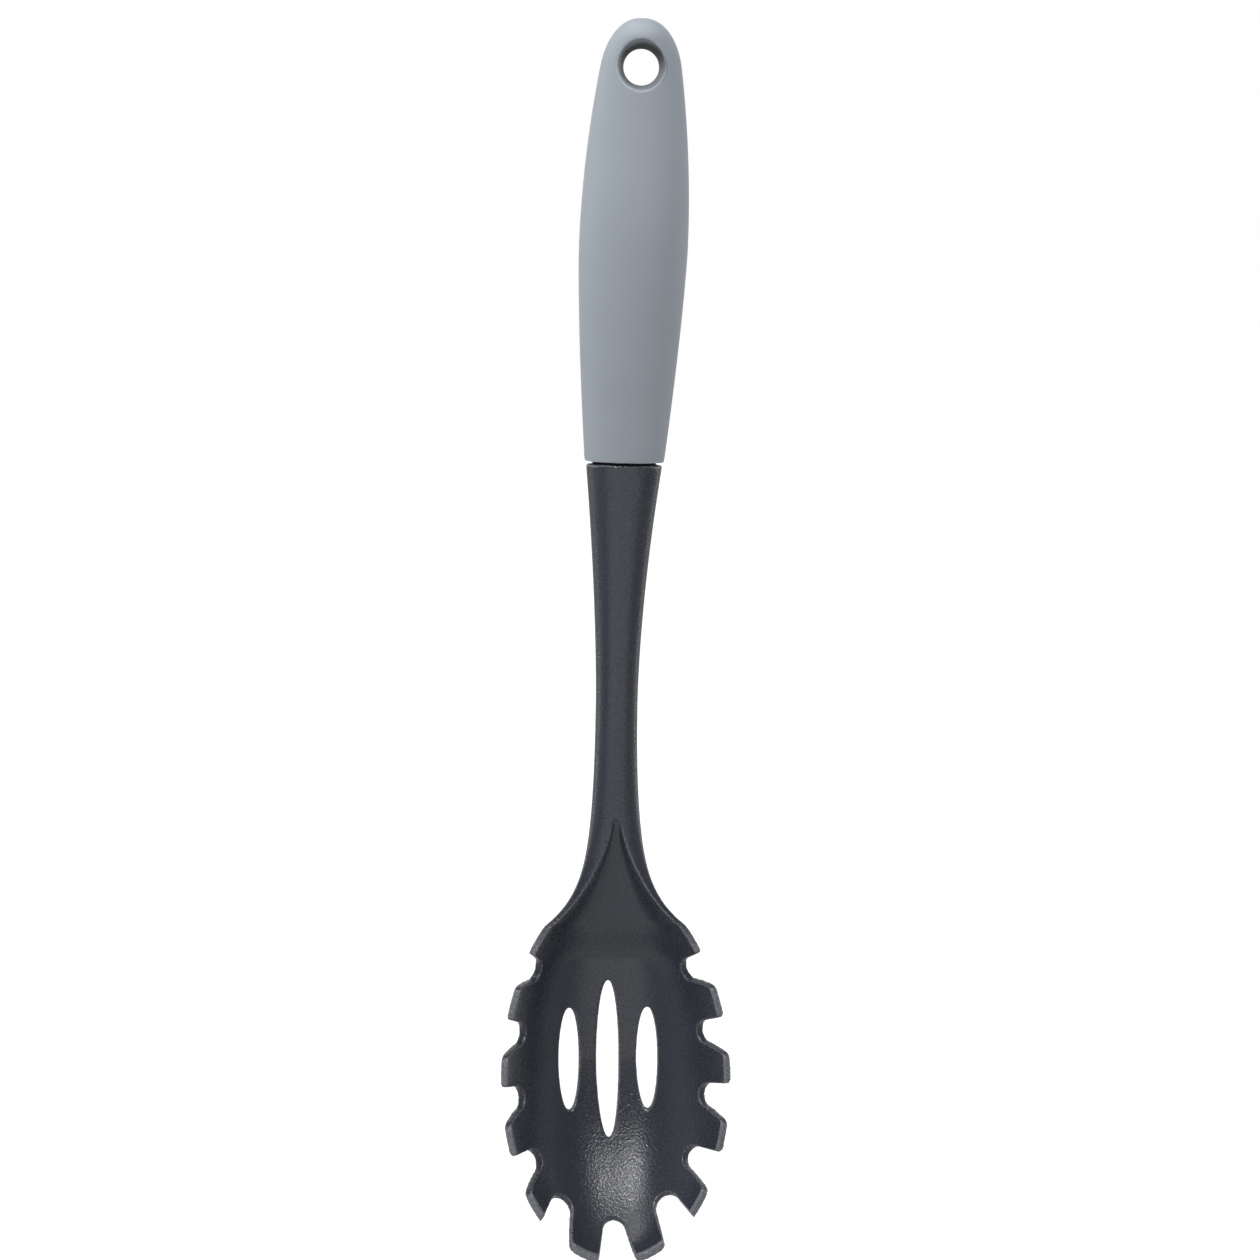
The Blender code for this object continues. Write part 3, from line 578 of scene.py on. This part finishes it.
def hangingHole():
    # A waist in the middle and a flare to both faces: the profile is spun round the hole's axis.
    bm = bmesh.new()
    reach = grip["depths"][0] / 2
    steps = grip["holeSteps"]
    beyond = steps + steps // 4
    shares = [i / steps for i in range(-beyond, beyond + 1)]
    profile = [bm.verts.new((0, share * reach, 0)) for share in (shares[0], shares[-1])]
    points = []
    for share in shares:
        width = mix(grip["holeWaist"], grip["holeMouth"], abs(share) ** grip["courses"][2])
        points.append(bm.verts.new((width / 2, share * reach, 0)))
    chain = [profile[0]] + points + [profile[1]]
    edges = [bm.edges.new(pair) for pair in zip(chain, chain[1:])]
    bmesh.ops.spin(bm, geom=chain + edges, cent=(0, 0, 0), axis=(0, 1, 0), angle=2 * math.pi,
                   steps=grip["holeRing"], use_merge=True)
    bmesh.ops.remove_doubles(bm, verts=bm.verts, dist=0.0005)
    leanHole(bm)
    return newPiece("holeTool", bm)


def holeSleeve():
    bm = bmesh.new()
    radius = grip["holeSleeve"] / 2
    bmesh.ops.create_cone(bm, cap_ends=True, segments=grip["holeRing"], radius1=radius, radius2=radius,
                          depth=2 * grip["depths"][0], matrix=Matrix.Rotation(math.pi / 2, 4, "X"))
    leanHole(bm)
    return newPiece("sleeveTool", bm)


def makeGrip():
    piece = gripBody("softGrip", -grip["below"], 0)
    pocket = gripBody("gripPocket", -grip["below"] - grip["skin"], grip["skin"])
    combine(pocket, holeSleeve(), "DIFFERENCE")
    combine(piece, pocket, "DIFFERENCE")
    combine(piece, hangingHole(), "DIFFERENCE")
    soften(piece, grip)
    return piece


tang = {
    "root": 1.5,                    # how far it reaches down into the shank
    "collarTop": 3.0,
    "collarEdge": 0.05,
    "length": 64.0,
    "widths": (12.0, 9.0),
    "depth": 4.6,
    "curve": 6.0,
    "pin": 4.0,
    "pinSpacing": 28.0,
    "pinFromTip": 10.0,
    "pins": 2,
    "clearance": 0.3,               # to the skin and round the pins
    "steps": 12,
    "ring": 96,
    "pinRing": 48,
}


def makeTang():
    # Collar and tang in one: the collar fills the grip's mouth, the tang runs up between the core halves.
    bm = bmesh.new()
    inset = grip["skin"] + tang["clearance"]
    collarTop = head["jointZ"] + tang["collarTop"]
    tip = head["jointZ"] + tang["length"]
    root, end = tang["widths"]
    halfCollar = (gripHalfWidth(head["jointZ"], inset), gripHalfDepth(head["jointZ"], inset))
    stations = [(shankTopZ - tang["root"], *halfCollar, grip["curve"]),
                (collarTop - tang["collarEdge"], *halfCollar, grip["curve"])]
    for i in range(tang["steps"] + 1):
        share = i / tang["steps"]
        stations.append((mix(collarTop, tip, share), mix(root, end, share) / 2, tang["depth"] / 2, tang["curve"]))
    loft(bm, stations, tang["ring"], lambda station, u, side: Vector(
        (u * station[1], math.copysign(station[2] * rounded(u, station[3], station[3]), side), station[0])))
    return newPiece("tangTool", bm)


def tangHoles():
    bm = bmesh.new()
    turned = Matrix.Rotation(math.pi / 2, 4, "X")
    radius = tang["pin"] / 2 + tang["clearance"]
    for i in range(tang["pins"]):
        z = head["jointZ"] + tang["length"] - tang["pinFromTip"] - i * tang["pinSpacing"]
        bmesh.ops.create_cone(bm, cap_ends=True, segments=tang["pinRing"], radius1=radius, radius2=radius,
                              depth=2 * tang["depth"], matrix=Matrix.Translation((0, 0, z)) @ turned)
    return newPiece("pinTool", bm)


def makeHead():
    piece = makeHeadBody()
    combine(piece, makeHollow(), "DIFFERENCE")
    cutNotches(piece)
    combine(piece, makeSlots(), "DIFFERENCE")
    combine(piece, makeTang(), "UNION")
    combine(piece, tangHoles(), "DIFFERENCE")
    soften(piece, head)
    return piece


serverHead = makeHead()
softGrip = makeGrip()
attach(serverHead, "root")
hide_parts("server_head")
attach(softGrip, "root")
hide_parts("soft_grip")
print("head and grip modelled")


# Materials

grainSpan = (0.3, 0.7)              # most of a noise's values lie between these


def linear(colour):
    # sRGB hex to the linear values that the shaders take
    values = [int(colour[i:i + 2], 16) / 255 for i in (1, 3, 5)]
    return tuple(v / 12.92 if v <= 0.04045 else ((v + 0.055) / 1.055) ** 2.4 for v in values) + (1.0,)


def addNode(material, kind, settings=None, inputs=None):
    # One node with its settings; an input is a value or another node's output.
    node = material.node_tree.nodes.new(kind)
    for name, value in (settings or {}).items():
        setattr(node, name, value)
    for name, value in (inputs or {}).items():
        if isinstance(value, bpy.types.NodeSocket):
            material.node_tree.links.new(value, node.inputs[name])
        else:
            node.inputs[name].default_value = value
    return node


def newMaterial(name):
    material = bpy.data.materials.new(name)
    material.use_nodes = True
    return material, material.node_tree.nodes["Principled BSDF"]


nylon = {
    "colour": "#21252e",
    "cloud": "#252932",
    "cloudSize": 14.0,
    "edgeHighlight": "#64666b",            # painted highlight on the rim faces and bent edges, lighter than the body
    "patches": (0.3, 0.6, 0.55),    # grain where the painted highlight starts to grow and is full, and its least share
    "rimFace": 0.3,                 # the painted highlight fades so far behind the rim's plane
    "rimFade": (2.0, 6.0),          # and from above the shoulders to below them
    "roughness": 0.27,
    "spread": 0.1,                  # of the roughness, to both sides
    "ior": 1.53,
    "grain": 0.7,                   # spark-eroded pits, drawn about four times their real size so that they show
    "pit": 0.12,
    "bloom": 0.2,                   # brightening at grazing angles, from the same fine texture
    "bloomRoughness": 0.35,
    "edge": (0.35, 1.1),            # bend of the skin, per millimetre, where the painted highlight starts and is full
}


def makeNylon():
    # Polyamide 66, injection moulded in a spark-eroded tool: satin, with a fine sparkle where it faces the light.
    material, shader = newMaterial("nylonSparkEroded")
    links = material.node_tree.links
    place = addNode(material, "ShaderNodeTexCoord")
    grain = addNode(material, "ShaderNodeTexNoise", {},
                    {"Vector": place.outputs["Object"], "Scale": 1 / (nylon["grain"] * mm), "Detail": 2.0,
                     "Roughness": 0.6})
    cloud = addNode(material, "ShaderNodeTexNoise", {},
                    {"Vector": place.outputs["Object"], "Scale": 1 / (nylon["cloudSize"] * mm), "Detail": 3.0})
    body = addNode(material, "ShaderNodeMix", {"data_type": "RGBA"}, {"Factor": cloud.outputs["Fac"]})
    body.inputs["A"].default_value = linear(nylon["colour"])
    body.inputs["B"].default_value = linear(nylon["cloud"])
    bend = addNode(material, "ShaderNodeAttribute", {"attribute_name": "edge"})
    edge = addNode(material, "ShaderNodeMapRange", {},
                   {"Value": bend.outputs["Fac"], "From Min": nylon["edge"][0], "From Max": nylon["edge"][1]})
    # The prongs' end faces lie just in front of the rim's plane, from the shoulders down; they take the painted
    # highlight.
    plane = widest.dot(rimOut)
    shoulders = widest.dot(rimDown) - head["shoulderAbove"]
    over, under = nylon["rimFade"]
    ahead = addNode(material, "ShaderNodeVectorMath", {"operation": "DOT_PRODUCT"},
                    {0: place.outputs["Object"], 1: tuple(rimOut)})
    face = addNode(material, "ShaderNodeMapRange", {},
                   {"Value": ahead.outputs["Value"], "From Min": (plane - nylon["rimFace"]) * mm,
                    "From Max": plane * mm})
    down = addNode(material, "ShaderNodeVectorMath", {"operation": "DOT_PRODUCT"},
                   {0: place.outputs["Object"], 1: tuple(rimDown)})
    below = addNode(material, "ShaderNodeMapRange", {},
                    {"Value": down.outputs["Value"], "From Min": (shoulders - over) * mm,
                     "From Max": (shoulders + under) * mm})
    rim = addNode(material, "ShaderNodeMath", {"operation": "MULTIPLY"},
                  {0: face.outputs["Result"], 1: below.outputs["Result"]})
    both = addNode(material, "ShaderNodeMath", {"operation": "MAXIMUM"},
                   {0: edge.outputs["Result"], 1: rim.outputs["Value"]})
    start, full, least = nylon["patches"]
    patchy = addNode(material, "ShaderNodeMapRange", {},
                     {"Value": grain.outputs["Fac"], "From Min": start, "From Max": full, "To Min": least})
    # Bent edges and rim faces take the lighter colour, broken up by the grain: painted highlight.
    highlightShare = addNode(material, "ShaderNodeMath", {"operation": "MULTIPLY"},
                   {0: both.outputs["Value"], 1: patchy.outputs["Result"]})
    colour = addNode(material, "ShaderNodeMix", {"data_type": "RGBA"}, {"Factor": highlightShare.outputs["Value"]})
    links.new(body.outputs["Result"], colour.inputs["A"])
    colour.inputs["B"].default_value = linear(nylon["edgeHighlight"])
    links.new(colour.outputs["Result"], shader.inputs["Base Color"])
    pits = addNode(material, "ShaderNodeMapRange", {},
                   {"Value": grain.outputs["Fac"], "From Min": grainSpan[0], "From Max": grainSpan[1],
                    "To Min": nylon["roughness"] - nylon["spread"], "To Max": nylon["roughness"] + nylon["spread"]})
    links.new(pits.outputs["Result"], shader.inputs["Roughness"])
    bump = addNode(material, "ShaderNodeBump", {},
                   {"Height": grain.outputs["Fac"], "Strength": 1.0, "Distance": nylon["pit"] * mm})
    links.new(bump.outputs["Normal"], shader.inputs["Normal"])
    shader.inputs["IOR"].default_value = nylon["ior"]
    shader.inputs["Sheen Weight"].default_value = nylon["bloom"]
    shader.inputs["Sheen Roughness"].default_value = nylon["bloomRoughness"]
    return material


skin = {
    "colour": "#848b92",
    "shade": "#7e858c",
    "cloudSize": 18.0,
    # painted highlight on the grip's bent edges
    "edgeHighlight": "#989ea4",
    "roughness": 0.58,
    "spread": 0.06,
    "ior": 1.49,
    "grain": 0.3,                   # fine matt texture of the tool, drawn twice its real size
    "pit": 0.02,
    "pitStrength": 0.4,
    "edge": (0.3, 1.0),
    "bloom": 0.22,
    "bloomRoughness": 0.35,
    "holeShade": "#1f2225",             # painted shade deep in the hanging hole, heaviest on its upper wall, which faces away from the light
    "holeShadeReach": (6.6, 5.6),       # distances from the hole's middle where it starts and is full
    "holeShadeMost": 0.95,
    "shadeSide": (-0.5, 0, 0.87),     # from the hole's middle towards its upper wall, where the painted shade is heaviest
    "shadeSideReach": (-4.5, 2.0),       # places along that way where the painted shade is least and full
    "shadeSideLeast": 0.4,
}


def makeSkin():
    # Thermoplastic elastomer moulded over the core: soft to the thumb, matt, with a faint bloom at grazing angles.
    material, shader = newMaterial("elastomerSoftTouch")
    links = material.node_tree.links
    place = addNode(material, "ShaderNodeTexCoord")
    grain = addNode(material, "ShaderNodeTexNoise", {},
                    {"Vector": place.outputs["Object"], "Scale": 1 / (skin["grain"] * mm), "Detail": 2.0})
    cloud = addNode(material, "ShaderNodeTexNoise", {},
                    {"Vector": place.outputs["Object"], "Scale": 1 / (skin["cloudSize"] * mm), "Detail": 2.0})
    body = addNode(material, "ShaderNodeMix", {"data_type": "RGBA"}, {"Factor": cloud.outputs["Fac"]})
    body.inputs["A"].default_value = linear(skin["shade"])
    body.inputs["B"].default_value = linear(skin["colour"])
    bend = addNode(material, "ShaderNodeAttribute", {"attribute_name": "edge"})
    edge = addNode(material, "ShaderNodeMapRange", {},
                   {"Value": bend.outputs["Fac"], "From Min": skin["edge"][0], "From Max": skin["edge"][1]})
    # Bent edges take the lighter colour: painted highlight.
    colour = addNode(material, "ShaderNodeMix", {"data_type": "RGBA"}, {"Factor": edge.outputs["Result"]})
    links.new(body.outputs["Result"], colour.inputs["A"])
    colour.inputs["B"].default_value = linear(skin["edgeHighlight"])
    # Painted shade in the hanging hole: darker towards its waist and on its upper wall.
    across = addNode(material, "ShaderNodeVectorMath", {"operation": "MULTIPLY"},
                     {0: place.outputs["Object"], 1: (1, 0, 1)})
    radius = addNode(material, "ShaderNodeVectorMath", {"operation": "LENGTH"}, {0: across.outputs["Vector"]})
    deep = addNode(material, "ShaderNodeMapRange", {},
                   {"Value": radius.outputs["Value"], "From Min": skin["holeShadeReach"][0] * mm,
                    "From Max": skin["holeShadeReach"][1] * mm, "To Max": skin["holeShadeMost"]})
    upper = addNode(material, "ShaderNodeVectorMath", {"operation": "DOT_PRODUCT"},
                    {0: place.outputs["Object"], 1: skin["shadeSide"]})
    shadeSideShare = addNode(material, "ShaderNodeMapRange", {},
                     {"Value": upper.outputs["Value"], "From Min": skin["shadeSideReach"][0] * mm,
                      "From Max": skin["shadeSideReach"][1] * mm, "To Min": skin["shadeSideLeast"]})
    holeShadeShare = addNode(material, "ShaderNodeMath", {"operation": "MULTIPLY"},
                   {0: deep.outputs["Result"], 1: shadeSideShare.outputs["Result"]})
    holeShaded = addNode(material, "ShaderNodeMix", {"data_type": "RGBA"}, {"Factor": holeShadeShare.outputs["Value"]})
    links.new(colour.outputs["Result"], holeShaded.inputs["A"])
    holeShaded.inputs["B"].default_value = linear(skin["holeShade"])
    links.new(holeShaded.outputs["Result"], shader.inputs["Base Color"])
    matt = addNode(material, "ShaderNodeMapRange", {},
                   {"Value": grain.outputs["Fac"], "From Min": grainSpan[0], "From Max": grainSpan[1],
                    "To Min": skin["roughness"] - skin["spread"], "To Max": skin["roughness"] + skin["spread"]})
    links.new(matt.outputs["Result"], shader.inputs["Roughness"])
    bump = addNode(material, "ShaderNodeBump", {},
                   {"Height": grain.outputs["Fac"], "Strength": skin["pitStrength"], "Distance": skin["pit"] * mm})
    links.new(bump.outputs["Normal"], shader.inputs["Normal"])
    shader.inputs["IOR"].default_value = skin["ior"]
    shader.inputs["Sheen Weight"].default_value = skin["bloom"]
    shader.inputs["Sheen Roughness"].default_value = skin["bloomRoughness"]
    return material


core = {
    "colour": "#7b7e84",
    "flow": "#84878c",
    "flowSize": 6.0,
    "roughness": 0.45,
    "ior": 1.49,
}


def makeCore():
    # Polypropylene, moulded plain and never seen: waxy grey with faint flow marks.
    material, shader = newMaterial("polypropyleneMoulded")
    links = material.node_tree.links
    place = addNode(material, "ShaderNodeTexCoord")
    flow = addNode(material, "ShaderNodeTexNoise", {},
                   {"Vector": place.outputs["Object"], "Scale": 1 / (core["flowSize"] * mm), "Detail": 2.0})
    colour = addNode(material, "ShaderNodeMix", {"data_type": "RGBA"}, {"Factor": flow.outputs["Fac"]})
    colour.inputs["A"].default_value = linear(core["colour"])
    colour.inputs["B"].default_value = linear(core["flow"])
    links.new(colour.outputs["Result"], shader.inputs["Base Color"])
    shader.inputs["Roughness"].default_value = core["roughness"]
    shader.inputs["IOR"].default_value = core["ior"]
    return material


def dress(piece, material):
    piece.data.materials.clear()
    piece.data.materials.append(material)


dress(serverHead, makeNylon())
dress(softGrip, makeSkin())
coreMaterial = makeCore()
dress(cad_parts["core_front"], coreMaterial)
dress(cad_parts["core_back"], coreMaterial)
print("materials on")


# Camera: in front and a little above, tilted down, as the tool was photographed

camera = {
    "distance": 600.0,
    "turn": 8.124,                  # degrees to the tool's left
    "above": 13.808,
    "roll": 2.545,
    "aim": (-2.994, -149.944),      # sideways and up, in the camera's own frame
    "frame": 335.16,                # width that the picture spans at the hole, in millimetres
    "sensor": 36.0,
    "clip": (0.01, 20.0),           # metres
}


def makeCamera():
    turned = (Matrix.Rotation(math.radians(camera["roll"]), 4, "Y")
              @ Matrix.Rotation(math.radians(camera["above"]), 4, "X")
              @ Matrix.Rotation(math.radians(camera["turn"]), 4, "Z")).inverted()
    data = bpy.data.cameras.new("camera")
    data.sensor_width = camera["sensor"]
    data.lens = data.sensor_width * camera["distance"] / camera["frame"]
    data.clip_start, data.clip_end = camera["clip"]
    obj = bpy.data.objects.new("camera", data)
    bpy.context.scene.collection.objects.link(obj)
    place = turned @ Vector((camera["aim"][0], -camera["distance"], camera["aim"][1])) * mm
    obj.matrix_world = Matrix.Translation(place) @ turned @ Matrix.Rotation(math.pi / 2, 4, "X")
    bpy.context.scene.camera = obj


makeCamera()

# Studio, in metres: pale floor and white surround, a soft key from the left, two lamps above, one in front, and one
# at each side for the rims

studio = {
    "floorDrop": 0.12,
    "floorSize": 4.0,
    "floorColour": "#e4e4e4",
    "floorRoughness": 0.9,
    "floorLift": (0.5, 0.85),       # added for the camera only, near and far: it reads white and keeps a shadow
    "floorReach": (0.15, 0.6),
    "lamps": {
        "key": {"from": (-0.75, -0.2, 0.5), "size": 0.6, "power": 4.8, "glossy": False},
        "over": {"from": (-0.06, -0.03, 0.45), "size": 0.3, "power": 0.8, "glossy": True},
        "top": {"from": (-0.02, -0.56, 0.71), "size": 0.16, "power": 3.7, "glossy": True},
        "facing": {"from": (0.0, -1.0, -0.14), "size": 0.9, "power": 2.0, "glossy": True},
        "rimLeft": {"from": (-0.9, 0.25, 0.1), "size": 0.6, "power": 1.6, "glossy": True},
        "rimRight": {"from": (0.9, 0.25, 0.1), "size": 0.6, "power": 1.6, "glossy": True},
    },
    "world": 0.30,
    "front": 0.3,                   # level of the room in front in reflections; the surround behind is white
    "frontReach": (-0.9, -0.1),     # it turns white between these, where -1 is straight ahead of the tool
    "ceiling": 0.3,                 # share of either level overhead
    "ceilingReach": (0.15, 0.6),    # that comes in between these, where 1 is straight up
}


def makeLight(name, settings):
    data = bpy.data.lights.new(name, "AREA")
    data.shape = "DISK"
    data.size = settings["size"]
    data.energy = settings["power"]
    obj = bpy.data.objects.new(name, data)
    obj.visible_glossy = settings["glossy"]
    bpy.context.scene.collection.objects.link(obj)
    centre = (cadLow + cadHigh) / 2
    obj.location = centre + Vector(settings["from"])
    obj.rotation_euler = (centre - obj.location).to_track_quat("-Z", "Y").to_euler()


def makeFloor():
    bm = bmesh.new()
    bmesh.ops.create_grid(bm, x_segments=2, y_segments=2, size=studio["floorSize"] / 2)
    bmesh.ops.translate(bm, verts=bm.verts, vec=(0, 0, cadLow.z - studio["floorDrop"]))
    mesh = bpy.data.meshes.new("floor")
    bm.to_mesh(mesh)
    bm.free()
    floor = bpy.data.objects.new("floor", mesh)
    bpy.context.scene.collection.objects.link(floor)
    material, shader = newMaterial("paperMatt")
    links = material.node_tree.links
    seen = addNode(material, "ShaderNodeLightPath")
    place = addNode(material, "ShaderNodeTexCoord")
    away = addNode(material, "ShaderNodeVectorMath", {"operation": "LENGTH"}, {0: place.outputs["Object"]})
    near, far = (reach - cadLow.z for reach in studio["floorReach"])
    nearLift, farLift = studio["floorLift"]
    level = addNode(material, "ShaderNodeMapRange", {},
                    {"Value": away.outputs["Value"], "From Min": near, "From Max": far, "To Min": nearLift,
                     "To Max": farLift})
    lift = addNode(material, "ShaderNodeMath", {"operation": "MULTIPLY"},
                   {0: seen.outputs["Is Camera Ray"], 1: level.outputs["Result"]})
    glow = addNode(material, "ShaderNodeEmission", {}, {"Color": (1, 1, 1, 1), "Strength": lift.outputs["Value"]})
    shader.inputs["Base Color"].default_value = linear(studio["floorColour"])
    shader.inputs["Roughness"].default_value = studio["floorRoughness"]
    shader.inputs["Specular IOR Level"].default_value = 0.0
    both = addNode(material, "ShaderNodeAddShader", {}, {0: shader.outputs["BSDF"], 1: glow.outputs["Emission"]})
    links.new(both.outputs["Shader"], material.node_tree.nodes["Material Output"].inputs["Surface"])
    dress(floor, material)


def makeWorld():
    # White for the camera and, behind the tool, in reflections; a plain level as light
    world = bpy.data.worlds.new("surround")
    world.use_nodes = True
    bpy.context.scene.world = world
    background = world.node_tree.nodes["Background"]
    background.inputs["Color"].default_value = (1, 1, 1, 1)
    path = addNode(world, "ShaderNodeLightPath")
    way = addNode(world, "ShaderNodeTexCoord")
    split = addNode(world, "ShaderNodeSeparateXYZ", {}, {"Vector": way.outputs["Generated"]})
    ahead, back = studio["frontReach"]
    behind = addNode(world, "ShaderNodeMapRange", {},
                     {"Value": split.outputs["Y"], "From Min": ahead, "From Max": back, "To Min": studio["front"]})
    low, high = studio["ceilingReach"]
    ceiling = addNode(world, "ShaderNodeMapRange", {},
                      {"Value": split.outputs["Z"], "From Min": low, "From Max": high, "To Min": 1.0,
                       "To Max": studio["ceiling"]})
    room = addNode(world, "ShaderNodeMath", {"operation": "MULTIPLY"},
                   {0: behind.outputs["Result"], 1: ceiling.outputs["Result"]})
    gloss = addNode(world, "ShaderNodeMapRange", {},
                    {"Value": path.outputs["Is Glossy Ray"], "To Min": studio["world"],
                     "To Max": room.outputs["Value"]})
    level = addNode(world, "ShaderNodeMapRange", {},
                    {"Value": path.outputs["Is Camera Ray"], "To Min": gloss.outputs["Result"], "To Max": 1.0})
    world.node_tree.links.new(level.outputs["Result"], background.inputs["Strength"])


for name, settings in studio["lamps"].items():
    makeLight(name, settings)
makeFloor()
makeWorld()
bpy.context.scene.view_settings.view_transform = "Standard"
print("studio set")
